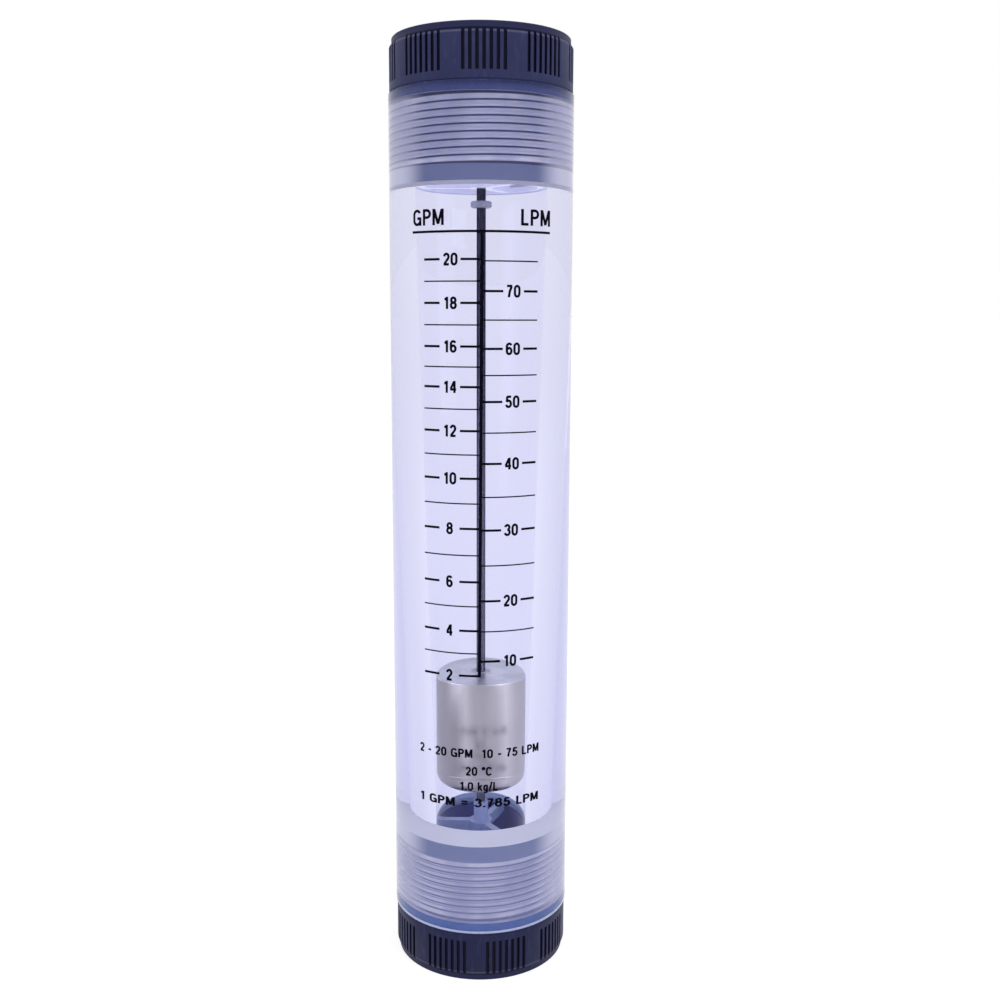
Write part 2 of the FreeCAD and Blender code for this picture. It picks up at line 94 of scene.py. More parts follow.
# Painted highlight bands of the float, standing in for reflections: place round it in turns,
# and brightness.
HIGHLIGHT_STOPS = [(place, (light, light, light, 1.0)) for place, light in (
    (0.0, 0.3), (0.025, 0.35), (0.052, 0.75), (0.085, 0.1), (0.2, 0.0), (0.3, 0.2),
    (0.36, 0.8), (0.41, 0.2), (0.52, 0.1), (0.58, 0.8), (0.64, 0.3), (0.74, 0.1),
    (0.86, 0.35), (0.9, 0.5), (0.934, 1.0), (0.965, 0.45), (1.0, 0.3))]


# ------------------------------------------------------------------- finishes

def paint(red, green, blue):
    """A display colour of 0 to 255 as the linear one that a shader takes."""
    return tuple(((c / 255 + 0.055) / 1.055) ** 2.4 if c > 10 else c / 3294.6
                 for c in (red, green, blue)) + (1.0,)


class Wire:
    """An output of a finish's node. Sums of wires and numbers add Math nodes."""

    def __init__(self, finish, socket):
        self.finish, self.socket = finish, socket

    def maths(self, operation, first, second):
        return self.finish.add("ShaderNodeMath", {"operation": operation},
                               {0: first, 1: second})

    def __add__(self, other):
        return self.maths("ADD", self, other)

    def __sub__(self, other):
        return self.maths("SUBTRACT", self, other)

    def __rsub__(self, other):
        return self.maths("SUBTRACT", other, self)

    def __mul__(self, other):
        return self.maths("MULTIPLY", self, other)

    def __truediv__(self, other):
        return self.maths("DIVIDE", self, other)

    def __rtruediv__(self, other):
        return self.maths("DIVIDE", other, self)

    __radd__ = __add__
    __rmul__ = __mul__

    def size(self):
        return self.maths("ABSOLUTE", self, 0.0)

    def most(self, other):
        return self.maths("MAXIMUM", self, other)

    def angle(self, other):
        """The turn from the other wire's axis towards this one's, 0 to 1."""
        return self.maths("ARCTAN2", self, other) / TURN + 0.5

    def between(self, low, high):
        """0 at low, 1 at high, and a smooth rise from one to the other."""
        return self.finish.add("ShaderNodeMapRange", {"interpolation_type": "SMOOTHSTEP"},
                               {"Value": self, "From Min": low, "From Max": high})


class Finish:
    """A node tree that gives a piece, the floor or the sky its look."""

    def __init__(self, name, constants=None, tree=None):
        if tree is None:        # the sky brings its world's tree
            self.material = bpy.data.materials.new(name)
            self.material.use_nodes = True
            tree = self.material.node_tree
        self.tree = tree
        self.shader = tree.nodes.get("Principled BSDF")
        for socket, value in (constants or {}).items():
            self.shader.inputs[socket].default_value = value

    def add(self, kind, settings=None, feeds=None, output=0):
        """One node: its settings first, then the values or wires of its sockets."""
        node = self.tree.nodes.new(kind)
        for name, value in (settings or {}).items():
            if name == "stops":
                self.set_stops(node.color_ramp, value)
            else:
                setattr(node, name, value)
        for key, value in (feeds or {}).items():
            if isinstance(value, Wire):
                self.tree.links.new(value.socket, node.inputs[key])
            else:
                node.inputs[key].default_value = value
        return Wire(self, node.outputs[output])

    def set_stops(self, ramp, stops):
        while len(ramp.elements) < len(stops):
            ramp.elements.new(0.5)
        for element, (place, colour) in zip(ramp.elements, stops):
            element.position, element.color = place, colour

    def mix(self, factor, first, second):
        return self.add("ShaderNodeMix", {"data_type": "RGBA"},
                        {0: factor, 6: first, 7: second}, output=2)

    def place(self):
        """Position on the piece at rest, in metres."""
        return self.add("ShaderNodeTexCoord", output="Object")

    def stretched(self, across, along):
        """Position with its X and Y scaled by across and its Z by along."""
        return self.add("ShaderNodeVectorMath", {"operation": "MULTIPLY"},
                        {0: self.place(), 1: (across, across, along)})

    def noise(self, position, scale, detail=3.0, roughness=0.5):
        return self.add("ShaderNodeTexNoise", None,
                        {"Vector": position, "Scale": scale, "Detail": detail,
                         "Roughness": roughness})

    def axis(self, name):
        return self.add("ShaderNodeSeparateXYZ", None, {0: self.place()}, name)

    def radius(self):
        """Distance from the meter's axis, in mm."""
        flat = self.stretched(1.0 / MM, 0.0)
        return self.add("ShaderNodeVectorMath", {"operation": "LENGTH"}, {0: flat}, "Value")

    def upper(self):
        """0 in the meter's lower half, 1 in its upper half."""
        return self.axis("Z").between(0.1, 0.2)

    def beside(self):
        """0 over the front and back of a piece inside the tube, 1 at its two sides."""
        return (self.axis("X").size() / MM).between(15.5, 22.5)

    def soak(self, density, colour):
        """Light lost inside a clear piece, the same all through it."""
        loss = self.add("ShaderNodeVolumeAbsorption", None,
                        {"Density": density, "Color": colour})
        self.tree.links.new(loss.socket, self.tree.nodes["Material Output"].inputs["Volume"])

    def relief(self, height, distance, strength):
        """Fine unevenness, distance metres deep."""
        bump = self.add("ShaderNodeBump", None,
                        {"Height": height, "Distance": distance, "Strength": strength})
        self.tree.links.new(bump.socket, self.shader.inputs["Normal"])

    def feed(self, **wires):
        """Wires to the shader's sockets, such as base_color=mottle."""
        for name, wire in wires.items():
            socket = self.shader.inputs[name.replace("_", " ").title()]
            self.tree.links.new(wire.socket, socket)
        return self


def clear_acrylic():
    """Polished acrylic: clear, faintly lilac through its thickness, lightly handled."""
    finish = Finish("clear_acrylic", {
        "Base Color": (0.92, 0.92, 0.985, 1.0), "Transmission Weight": 1.0, "IOR": 1.49,
        "Specular Tint": (0.3, 0.31, 0.4, 1.0)})
    wiping = finish.noise(finish.stretched(1.0, 0.12), 260.0)
    finish.soak(20.0, (0.43, 0.44, 0.755, 1.0))
    return finish.feed(roughness=wiping.between(0.55, 0.8) * 0.02)


def thread_acrylic():
    """Where the tap cut the acrylic: milky flanks, grey crests and fine roots darkened with
    painted shade, and a painted sheen paling its two sides.
    """
    finish = Finish("thread_acrylic", {"Specular IOR Level": 0.2})
    middle = THREAD_RADIUS + THREAD_GAP
    crest_line, root_line = middle - THREAD_REACH, middle + THREAD_REACH
    radius = finish.radius()
    cloud = finish.noise(finish.stretched(1.0, 0.5), 90.0, 3.0).between(0.3, 0.7)
    tool_marks = finish.noise(finish.stretched(0.05, 1.0), 9000.0, 2.0)
    flank = finish.mix(cloud, paint(198, 202, 224), paint(234, 232, 246))
    crest = finish.mix(radius.between(crest_line + 0.27, crest_line + 0.12), flank,
                       paint(192, 194, 220))
    # Painted shade: the thread roots are painted dark, darker in the upper end than in the
    # lower.
    line = finish.mix(finish.upper(), paint(146, 152, 192), paint(70, 72, 112))
    cut = radius.between(root_line - 0.26, root_line - 0.11) \
        * radius.between(root_line + 0.14, root_line + 0.04)
    # Painted sheen: the two sides of the thread are paled towards white.
    colour_with_painted_sheen = finish.mix(finish.beside() * 0.55, finish.mix(cut, crest, line),
                       paint(238, 237, 250))
    finish.relief(tool_marks, 0.00001, 0.4)
    return finish.feed(base_color=colour_with_painted_sheen, roughness=0.42 + cloud * 0.2)


def relief_acrylic():
    """The smooth recess past each thread, which shows the fitting's blue through it, painted
    darker in the upper end as painted shade and paled at its sides with a painted sheen.
    """
    finish = Finish("relief_acrylic", {"Specular IOR Level": 0.2})
    cloud = finish.noise(finish.stretched(0.6, 1.0), 150.0, 3.0)
    # Painted shade: the upper end's recess is painted darker than the lower's.
    slate = finish.mix(finish.upper(), paint(132, 144, 182), paint(108, 118, 160))
    misted = finish.mix(cloud * 0.3, slate, paint(160, 168, 200))
    # Painted sheen: the two sides are paled towards white.
    return finish.feed(
        base_color=finish.mix(finish.beside() * 0.9, misted, paint(240, 240, 252)),
        roughness=0.35 + cloud * 0.2)


def pocket_acrylic():
    """The counterbore where the seal presses on the acrylic and shows its deep blue, painted
    paler in the lower end as painted light and darker in the upper as painted shade.
    """
    finish = Finish("pocket_acrylic", {"Specular IOR Level": 0.1})
    bloom = finish.noise(finish.place(), 300.0, 4.0)
    # Painted light and shade: the upper end's pocket takes the darker blue, the lower end's
    # the paler one.
    deep = finish.mix(bloom, paint(64, 74, 128), paint(86, 98, 154))
    pale = finish.mix(bloom, paint(86, 110, 170), paint(108, 132, 188))
    return finish.feed(base_color=finish.mix(finish.upper(), pale, deep),
                       roughness=0.5 + bloom * 0.2)


def shoulder_acrylic():
    """The cone at the mouth of the metering bore, frosted, with a painted glow, strong in the
    lower end and faint in the upper.
    """
    finish = Finish("shoulder_acrylic", {"Specular IOR Level": 0.2, "Emission Strength": 0.19})
    cloud = finish.noise(finish.place(), 90.0, 3.0)
    outward = finish.radius().between(17.0, RELIEF_RADIUS)
    frost = finish.mix(outward, paint(252, 253, 255), paint(240, 242, 255))
    # Painted glow: emission, bright in the lower end and faint in the upper.
    painted_glow = finish.mix(finish.upper(), (0.86, 0.90, 1.0, 1.0), (0.1, 0.1, 0.12, 1.0))
    return finish.feed(base_color=finish.mix(cloud * 0.4, frost, paint(238, 240, 252)),
                       emission_color=painted_glow, roughness=0.5 + cloud * 0.2)


def fitting_plastic():
    """Moulded slate-blue plastic with scattered scuffs, painted dark with painted shade in its
    grooves and rim, with a painted highlight along its shoulder and painted light in its
    chamber.
    """
    finish = Finish("fitting_plastic", {"Specular IOR Level": 0.12})
    radius = finish.radius()
    from_middle = (finish.axis("Z") - MIDDLE * MM).size() / MM
    grain = finish.noise(finish.place(), 5200.0, 2.0)
    cloud = finish.noise(finish.place(), 90.0, 4.0)
    scuffs = finish.noise(finish.stretched(1.0, 0.25), 700.0, 3.0).between(0.5, 0.75)
    # Painted shade: the lower fitting's plastic is painted darker than the upper's.
    body = finish.mix(finish.upper(), finish.mix(cloud, paint(31, 34, 66), paint(43, 46, 80)),
                      finish.mix(cloud, paint(40, 44, 79), paint(52, 56, 92)))
    shoulder, rim_top, throat = MIDDLE - HEAD_SHOULDER, MIDDLE - RIM_TOP, MIDDLE - THROAT_END
    # Painted highlight: a lighter band along the head's shoulder, mixed with the real scuffs.
    shoulder_highlight = from_middle.between(shoulder - 0.5, shoulder) \
        * from_middle.between(shoulder + 0.7, shoulder + 0.1)
    scuffs_and_highlight = finish.mix(scuffs * 0.12 + shoulder_highlight * 0.6, body, paint(92, 96, 130))
    # Painted light: the chamber wall is painted near-white in the upper fitting and mid-blue
    # in the lower, as light through the throat.
    chamber = radius.between(CHAMBER_RADIUS + 0.6, CHAMBER_RADIUS + 0.2) \
        * from_middle.between(throat + 1.5, throat + 0.5)
    lit = finish.mix(finish.upper(), paint(100, 106, 184), paint(240, 241, 252))
    hollow = finish.mix(chamber, scuffs_and_highlight, lit)
    # Painted shade: the groove floors are painted near-black and the sunk rim dark.
    sunk = radius.between(HEAD_RADIUS - 0.15, HEAD_RADIUS - 0.5) \
        * radius.between(RIM_RADIUS - 0.6, RIM_RADIUS - 0.2)
    dark = finish.mix(from_middle.between(rim_top - 0.1, rim_top + 0.1),
                      paint(12, 9, 36), paint(40, 42, 76))
    finish.relief(grain, 0.00003, 0.35)
    return finish.feed(base_color=finish.mix(sunk, hollow, dark),
                       roughness=0.42 + cloud * 0.16 + chamber * 0.35)


def turned_steel():
    """Stainless steel off the lathe: fine rings round it, painted highlight bands along it,
    and a top face painted lighter as a painted highlight.
    """
    finish = Finish("turned_steel", {"Metallic": 1.0})
    rings = finish.noise(finish.stretched(0.02, 1.0), 5200.0, 3.0, 0.7)
    cloud = finish.noise(finish.stretched(1.0, 0.35), 110.0, 3.0)
    flow = finish.noise(finish.stretched(1.0, 0.15), 160.0, 3.0)
    round_it = finish.axis("X").angle(finish.axis("Y")) + flow * 0.02
    # Painted highlights: bright bands round the float stand in for reflections of the room.
    bands = finish.add("ShaderNodeValToRGB", {"stops": HIGHLIGHT_STOPS}, {0: round_it})
    body = finish.mix(cloud, paint(160, 156, 152), paint(176, 172, 168))
    bright = finish.mix(bands, body, paint(232, 227, 218))
    # Painted highlight: the top face is painted near-white.
    face = finish.axis("Z").between((FLOAT_HIGH - 0.3) * MM, (FLOAT_HIGH - 0.1) * MM)
    top = finish.mix(flow.between(0.4, 0.65), paint(218, 222, 226), paint(242, 244, 246))
    finish.relief(rings, 0.00002, 0.5)
    return finish.feed(base_color=finish.mix(face * 0.8, bright, top),
                       roughness=0.26 + rings * 0.14)


def drawn_steel():
    """The rod's drawn steel: dark and speckled near its top, brighter lower down."""
    finish = Finish("drawn_steel", {"Metallic": 1.0, "Specular Tint": (0.2, 0.22, 0.36, 1.0)})
    lines = finish.noise(finish.stretched(1.0, 0.01), 4200.0, 3.0)
    specks = finish.noise(finish.place(), 2600.0, 2.0).between(0.55, 0.72)
    high = finish.axis("Z").between(0.12, 0.24)
    dull = finish.mix(lines, paint(70, 68, 88), paint(124, 122, 138))
    dark = finish.mix(specks * 0.5, paint(14, 14, 36), paint(96, 102, 130))
    finish.relief(lines, 0.00001, 0.4)
    return finish.feed(base_color=finish.mix(high, dull, dark), roughness=0.2 + lines * 0.16)


def fastener_steel():
    """Plated nuts and washers."""
    finish = Finish("fastener_steel", {"Metallic": 1.0})
    cloud = finish.noise(finish.place(), 1500.0, 3.0)
    finish.relief(cloud, 0.00001, 0.3)
    return finish.feed(
        base_color=finish.mix(cloud, (0.48, 0.48, 0.50, 1.0), (0.62, 0.62, 0.64, 1.0)),
        roughness=0.22 + cloud * 0.2)


def seal_rubber():
    """Deep blue moulded rubber, dry and slightly bloomed."""
    finish = Finish("seal_rubber", {"Specular IOR Level": 0.15})
    bloom = finish.noise(finish.place(), 420.0, 4.0)
    finish.relief(finish.noise(finish.place(), 4000.0, 2.0), 0.00002, 0.3)
    return finish.feed(base_color=finish.mix(bloom, paint(52, 64, 122), paint(72, 88, 146)),
                       roughness=0.55 + bloom * 0.2)


def cushion_silicone():
    """Blue-grey silicone of the cushion rings, with the upper ring painted near-white as
    painted light and the lower one deeper blue-grey.
    """
    finish = Finish("cushion_silicone", {"Specular IOR Level": 0.2})
    cloud = finish.noise(finish.place(), 600.0, 3.0)
    finish.relief(cloud, 0.00001, 0.3)
    # Painted light and shade: lit and shaded copies of one silicone, near-white above and
    # blue-grey below.
    lit_and_shaded_tone = finish.mix(finish.upper(), paint(112, 122, 176), paint(226, 228, 246))
    return finish.feed(base_color=finish.mix(cloud * 0.3, lit_and_shaded_tone, paint(160, 166, 204)),
                       roughness=0.4 + cloud * 0.2)


def holder_plastic():
    """Clear moulded plastic of the rod holders, smooth, with a watery blue cast; the upper
    holder is painted paler and has a painted glow, the lower one a faint painted glow.
    """
    finish = Finish("holder_plastic", {
        "Transmission Weight": 0.3, "IOR": 1.49, "Emission Strength": 0.25})
    flow = finish.noise(finish.place(), 500.0, 3.0)
    # Painted glow and painted light: emission, strong in the upper holder and faint in the
    # lower, and the upper holder's colour painted paler.
    painted_glow = finish.mix(finish.upper(), (0.02, 0.05, 0.12, 1.0), (0.83, 0.82, 0.93, 1.0))
    watery = finish.mix(flow, paint(190, 204, 246), paint(222, 232, 255))
    return finish.feed(
        emission_color=painted_glow,
        base_color=finish.mix(finish.upper(), watery, paint(226, 227, 250)),
        roughness=0.03 + flow * 0.06)


def collar_nylon():
    """Milky nylon of the stop collars."""
    finish = Finish("collar_nylon", {"Transmission Weight": 0.35, "IOR": 1.53})
    cloud = finish.noise(finish.place(), 900.0, 3.0)
    milk = finish.mix(cloud, paint(184, 187, 208), paint(208, 211, 228))
    return finish.feed(base_color=milk, roughness=0.3 + cloud * 0.15)


def bush_plastic():
    """Grey bearing plastic of the float's bushes."""
    finish = Finish("bush_plastic", {"Specular IOR Level": 0.4})
    cloud = finish.noise(finish.place(), 1100.0, 3.0)
    finish.relief(cloud, 0.00001, 0.3)
    grey = finish.mix(cloud, paint(212, 214, 224), paint(228, 230, 238))
    return finish.feed(base_color=grey, roughness=0.35 + cloud * 0.15)


def scale_ink():
    """Screen-printed black ink, very slightly uneven."""
    finish = Finish("scale_ink", {"Specular IOR Level": 0.03})
    print_density = finish.noise(finish.place(), 1800.0, 3.0)
    finish.relief(print_density, 0.00001, 0.3)
    return finish.feed(
        base_color=finish.mix(print_density, paint(4, 3, 12), paint(12, 11, 26)),
        roughness=0.5 + print_density * 0.2)


# ---------------------------------------------------------------- mesh makers

def radius_of(vertex):
    """Distance from the meter's axis, in mm."""
    return math.hypot(vertex.co.x, vertex.co.y) / MM


def turned(outline, rows=()):
    """A ring turned from (radius, height) corners in mm. Each of rows, (corner, count),
    splits the side that starts at that corner into that many rows."""
    mesh = bmesh.new()
    corners = [mesh.verts.new((radius * MM, 0.0, height * MM)) for radius, height in outline]
    sides = [mesh.edges.new(pair) for pair in zip(corners, corners[1:] + corners[:1])]
    for corner, count in rows:
        bmesh.ops.subdivide_edges(mesh, edges=[sides[corner]], cuts=count - 1)
    bmesh.ops.spin(mesh, geom=mesh.verts[:] + mesh.edges[:], cent=(0, 0, 0), axis=(0, 0, 1),
                   angle=TURN, steps=COLUMNS, use_merge=True)
    bmesh.ops.recalc_face_normals(mesh, faces=mesh.faces)
    return mesh


def rim(mesh, radius, height):
    """The ring of edges at the given place, in mm."""
    marked = {vertex for vertex in mesh.verts if abs(radius_of(vertex) - radius) < 1e-3
              and abs(vertex.co.z / MM - height) < 1e-3}
    return [edge for edge in mesh.edges if all(vertex in marked for vertex in edge.verts)
            and abs(edge.verts[0].co.z - edge.verts[1].co.z) < 1e-7]


def rounded(mesh, edges, width, segments):
    """Rounds the edges off, width in mm."""
    bmesh.ops.bevel(mesh, geom=edges, offset=width * MM, segments=segments, profile=0.5,
                    affect="EDGES", material=-1)


def thread_form(turn):
    """Height of a pipe thread's rounded form from its middle line, in pitches.
    turn is 0 on a crest and 0.5 in a root."""
    arc, slope, half = 0.13733, 1.9210, 0.32016
    run = abs((turn + 0.5) % 1.0 - 0.5)
    reach = min(run, 0.5 - run)
    if reach < 0.8870 * arc:
        height = half - arc + math.sqrt(arc * arc - reach * reach)
    else:
        height = (0.25 - reach) * slope
    return height if run < 0.25 else -height


def ease(value):
    """A smooth rise from 0 at 0 to 1 at 1."""
    value = min(max(value, 0.0), 1.0)
    return value * value * (3.0 - 2.0 * value)


def cut_thread(mesh, plain, middle, low, high):
    """Moves the wall of radius plain between two heights to a right-hand thread round
    the radius middle, which fades out over its first and its last turn."""
    for vertex in mesh.verts:
        height = vertex.co.z / MM
        radius = radius_of(vertex)
        if abs(radius - plain) > 1e-3 or not low - 1e-4 <= height <= high + 1e-4:
            continue
        turn = height / PITCH - math.atan2(vertex.co.y, vertex.co.x) / TURN
        wall = middle + PITCH * thread_form(turn)
        for gap in (height - low, high - height):
            wall = plain + (wall - plain) * ease(gap / PITCH)
        vertex.co.x *= wall / radius
        vertex.co.y *= wall / radius


def finished(name, mesh, body, finishes, stands_for=()):
    """The mesh as a smooth-shaded piece with creased corners, riding on a body."""
    crease = math.radians(40.0)
    for face in mesh.faces:
        face.smooth = True
    for edge in mesh.edges:
        edge.smooth = edge.calc_face_angle(0.0) < crease
    data = bpy.data.meshes.new(name)
    mesh.to_mesh(data)
    mesh.free()
    for finish in finishes:
        data.materials.append(finish.material)
    piece = bpy.data.objects.new(name, data)
    SCENE.collection.objects.link(piece)
    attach(piece, body)
    if stands_for:
        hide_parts(*stands_for)
    return piece


# ----------------------------------------------------------------------- tube

def shoulder_depth(end):
    """From the tube's end to where its metering bore begins."""
    return RELIEF_END + (RELIEF_RADIUS - MOUTH[end]) * SHOULDER_RISE


def bore_steps(end):
    """Inside corners of one end of the tube, in their order up the outline."""
    steps = [(SEAL_POCKET, 0.0), (SEAL_POCKET, SEAL_DEPTH), (RELIEF_RADIUS, SEAL_DEPTH),
             (RELIEF_RADIUS, THREAD_END), (RELIEF_RADIUS, RELIEF_END),
             (MOUTH[end], shoulder_depth(end))]
    if end == "upper":
        return [(radius, TUBE_HIGH - depth) for radius, depth in steps]
    return [(radius, TUBE_LOW + depth) for radius, depth in steps[::-1]]


def clear_tube(finishes):
    """The tube, clear but for its machined ends. The finishes are clear, then those of the
    pocket, the thread, the relief and the shoulder, in their order from the tube's end."""
    outer_side, upper_thread, bore_side, lower_thread = 1, 6, 9, 12
    outline = [(TUBE_RADIUS - TUBE_EDGE, TUBE_LOW), (TUBE_RADIUS, TUBE_LOW + TUBE_EDGE),
               (TUBE_RADIUS, TUBE_HIGH - TUBE_EDGE), (TUBE_RADIUS - TUBE_EDGE, TUBE_HIGH)]
    outline += bore_steps("upper") + bore_steps("lower")
    mesh = turned(outline, [(upper_thread, THREAD_ROWS), (lower_thread, THREAD_ROWS),
                            (outer_side, 6), (bore_side, 40)])
    for low, high in ((TUBE_LOW + SEAL_DEPTH, TUBE_LOW + THREAD_END),
                      (TUBE_HIGH - THREAD_END, TUBE_HIGH - SEAL_DEPTH)):
        cut_thread(mesh, RELIEF_RADIUS, THREAD_RADIUS + THREAD_GAP, low, high)
    zone_starts = (0.0, SEAL_DEPTH - 0.01, THREAD_END, RELIEF_END)
    frosted = len(zone_starts)
    for face in mesh.faces:
        middle = face.calc_center_median()
        radius, height = middle.xy.length / MM, middle.z / MM
        end = "lower" if height < MIDDLE else "upper"
        depth = height - TUBE_LOW if end == "lower" else TUBE_HIGH - height
        if depth < 0.01:
            face.material_index = frosted
        elif radius < SEAL_POCKET + 0.1 and depth < shoulder_depth(end):
            face.material_index = sum(depth > start for start in zone_starts)
    return finished("clear_tube", mesh, "tube", finishes, ["metering_tube"])


# --------------------------------------------------------------- end fittings

def grip_angle(column, middle):
    """Plan angle of one of the head's columns, crowded towards the grooves."""
    group, step = divmod(column, COLUMNS // GRIP_GROUPS)
    plain_step = (GROUP_ANGLE - GRIP_SPAN * GRIP_STEP) / (COLUMNS // GRIP_GROUPS - GRIP_SPAN)
    angle = min(step, GRIP_SPAN) * GRIP_STEP + max(step - GRIP_SPAN, 0) * plain_step
    return middle - GRIP_SPAN * GRIP_STEP / 2 + group * GROUP_ANGLE + angle


def crowd_columns(mesh, middle):
    """Turns each column of vertices to its place beside or between the grooves."""
    for vertex in mesh.verts:
        column = round(math.degrees(math.atan2(vertex.co.y, vertex.co.x))
                       * COLUMNS / 360.0) % COLUMNS
        angle = math.radians(grip_angle(column, middle))
        radius = radius_of(vertex) * MM
        vertex.co.x, vertex.co.y = radius * math.cos(angle), radius * math.sin(angle)


def sink_grooves(mesh, middle, floor_start):
    """Sinks every second column of faces in each group, and rounds the grooves' lips."""
    grooves = []
    for face in mesh.faces:
        centre = face.calc_center_median()
        if centre.xy.length / MM > GRIP_FLOOR and floor_start < centre.z / MM < GRIP_TOP:
            plan = math.degrees(math.atan2(centre.y, centre.x)) - middle
            from_group = (plan + GROUP_ANGLE / 2) % GROUP_ANGLE - GROUP_ANGLE / 2
            along = from_group / GRIP_STEP + GRIP_SPAN / 2
            if 0.0 < along < GRIP_SPAN and int(along) % 2 == 0:
                grooves.append(face)
    sunk = bmesh.ops.extrude_face_region(mesh, geom=grooves)["geom"]
    bmesh.ops.delete(mesh, geom=grooves, context="FACES")
    for vertex in sunk:
        if isinstance(vertex, bmesh.types.BMVert):
            inward = GRIP_FLOOR / radius_of(vertex)
            vertex.co.x *= inward
            vertex.co.y *= inward
    bmesh.ops.remove_doubles(mesh, verts=mesh.verts, dist=0.001 * MM)
    lips = [edge for edge in mesh.edges
            if abs(edge.verts[0].co.z - edge.verts[1].co.z) > 5.0 * MM
            and all(abs(radius_of(vertex) - HEAD_RADIUS) < 0.01 for vertex in edge.verts)
            and edge.calc_face_angle(0.0) > 1.0]
    rounded(mesh, lips, GRIP_LIP, 2)


def end_fitting(end, plastic):
    """One fitting: grooved head, threaded skirt with its pilot, and the pipe bore. It is
    made as the lower one, and the upper one is that one's mirror image."""
    skirt_side, pipe_side = 9, 18
    skirt_end = HEAD_HEIGHT + SKIRT_THREAD_END
    floor_start = HEAD_SHOULDER \
        - RIM_SLOPE * (HEAD_RADIUS - GRIP_FLOOR) / (HEAD_RADIUS - RIM_RADIUS)
    outline = [
        (PIPE_MINOR + PIPE_CHAMFER, 0.0), (RIM_RADIUS - RIM_EDGE, 0.0),
        (RIM_RADIUS, RIM_EDGE), (RIM_RADIUS, RIM_TOP), (GRIP_FLOOR, floor_start),
        (HEAD_RADIUS, HEAD_SHOULDER), (HEAD_RADIUS, GRIP_TOP),
        (HEAD_RADIUS, HEAD_HEIGHT - HEAD_EDGE), (HEAD_RADIUS - HEAD_EDGE, HEAD_HEIGHT),
        (SKIRT_ROOT, HEAD_HEIGHT), (SKIRT_ROOT, skirt_end),
        (PILOT_RADIUS, skirt_end + PILOT_EDGE), (PILOT_RADIUS, SKIRT_END - PILOT_EDGE),
        (PILOT_RADIUS - PILOT_EDGE, SKIRT_END), (CHAMBER_RADIUS, SKIRT_END),
        (CHAMBER_RADIUS, THROAT_END + CHAMBER_RADIUS - THROAT_RADIUS),
        (THROAT_RADIUS, THROAT_END),
        (THROAT_RADIUS, PIPE_LENGTH + PIPE_MINOR - THROAT_RADIUS),
        (PIPE_MINOR, PIPE_LENGTH), (PIPE_MINOR, PIPE_CHAMFER)]
    mesh = turned(outline, [(skirt_side, THREAD_ROWS + 2), (pipe_side, PIPE_ROWS)])
    crowd_columns(mesh, GRIP_MIDDLE[end])
    sink_grooves(mesh, GRIP_MIDDLE[end], floor_start)
    bmesh.ops.recalc_face_normals(mesh, faces=mesh.faces)
    if end == "upper":
        bmesh.ops.transform(mesh, matrix=Matrix.Translation((0, 0, METER_TOP * MM))
                            @ Matrix.Diagonal((1, 1, -1, 1)), verts=mesh.verts)
        bmesh.ops.reverse_faces(mesh, faces=mesh.faces)
        skirt = (METER_TOP - skirt_end, METER_TOP - HEAD_HEIGHT)
        bore = (METER_TOP - PIPE_LENGTH, METER_TOP - PIPE_CHAMFER)
    else:
        skirt = (HEAD_HEIGHT, skirt_end)
        bore = (PIPE_CHAMFER, PIPE_LENGTH)
    cut_thread(mesh, SKIRT_ROOT, THREAD_RADIUS - THREAD_GAP, *skirt)
    cut_thread(mesh, PIPE_MINOR, PIPE_MIDDLE, *bore)
    return finished(end + "_ribbed_fitting", mesh, end + "_fitting",
                    [plastic], [end + "_end_fitting"])


# ---------------------------------------------------------------------- float

def steel_float(steel):
    """The float, with the fine line that the lathe left above its rounded nose."""
    bush, bush_length, bore, nose, edge = 3.5, 8.0, 2.3, 6.6, 0.3
    line, line_depth, line_half = FLOAT_LOW + nose + 0.35, 0.05, 0.1
    outline = [
        (bush, FLOAT_LOW), (FLOAT_RADIUS, FLOAT_LOW), (FLOAT_RADIUS, line - line_half),
        (FLOAT_RADIUS - line_depth, line), (FLOAT_RADIUS, line + line_half),
        (FLOAT_RADIUS, FLOAT_HIGH), (bush, FLOAT_HIGH),
        (bush, FLOAT_HIGH - bush_length), (bore, FLOAT_HIGH - bush_length),
        (bore, FLOAT_LOW + bush_length), (bush, FLOAT_LOW + bush_length)]
    mesh = turned(outline)
    rounded(mesh, rim(mesh, FLOAT_RADIUS, FLOAT_LOW), nose, 12)
    rounded(mesh, rim(mesh, FLOAT_RADIUS, FLOAT_HIGH), edge, 2)
    return finished("steel_float", mesh, "float", [steel], ["float_body"])


# ---------------------------------------------------------------------- scale

# Heights and sizes are in mm, and places round the tube in degrees from its front.
INK_OUTER, INK_INNER = 0.03, -0.03          # from the tube's face
SCALE_MIDDLE, SCALE_LEAN = -0.128, 0.0109   # at the height below, and its change per mm
LEAN_HEIGHT = 173.0
STRIP, STRIPS_END = 0.6, 50.0               # width of the print's strips, and their end
THICK, THIN = 0.74, 0.42                    # weights of the lines
HEAD_LINE, HEAD_LINE_LEFT, HEAD_LINE_RIGHT = 246.4, -45.8, 44.9
SPINE = 1.0                                 # width of the scale's middle line
UNIT_PLACE, UNIT_BASE, UNIT_HEIGHT, UNIT_STROKE = 34.1, 248.3, 4.9, 0.17
FIGURE_PLACE, FIGURE_HEIGHT = 19.0, 3.74
INNER_MARK_END, OUTER_MARK_START = 12.7, 25.7       # a figure stands between the two
NOTE_HEIGHT, NOTE_WIDTH, NOTE_SQUEEZE = 2.9, 81.2, 1.05
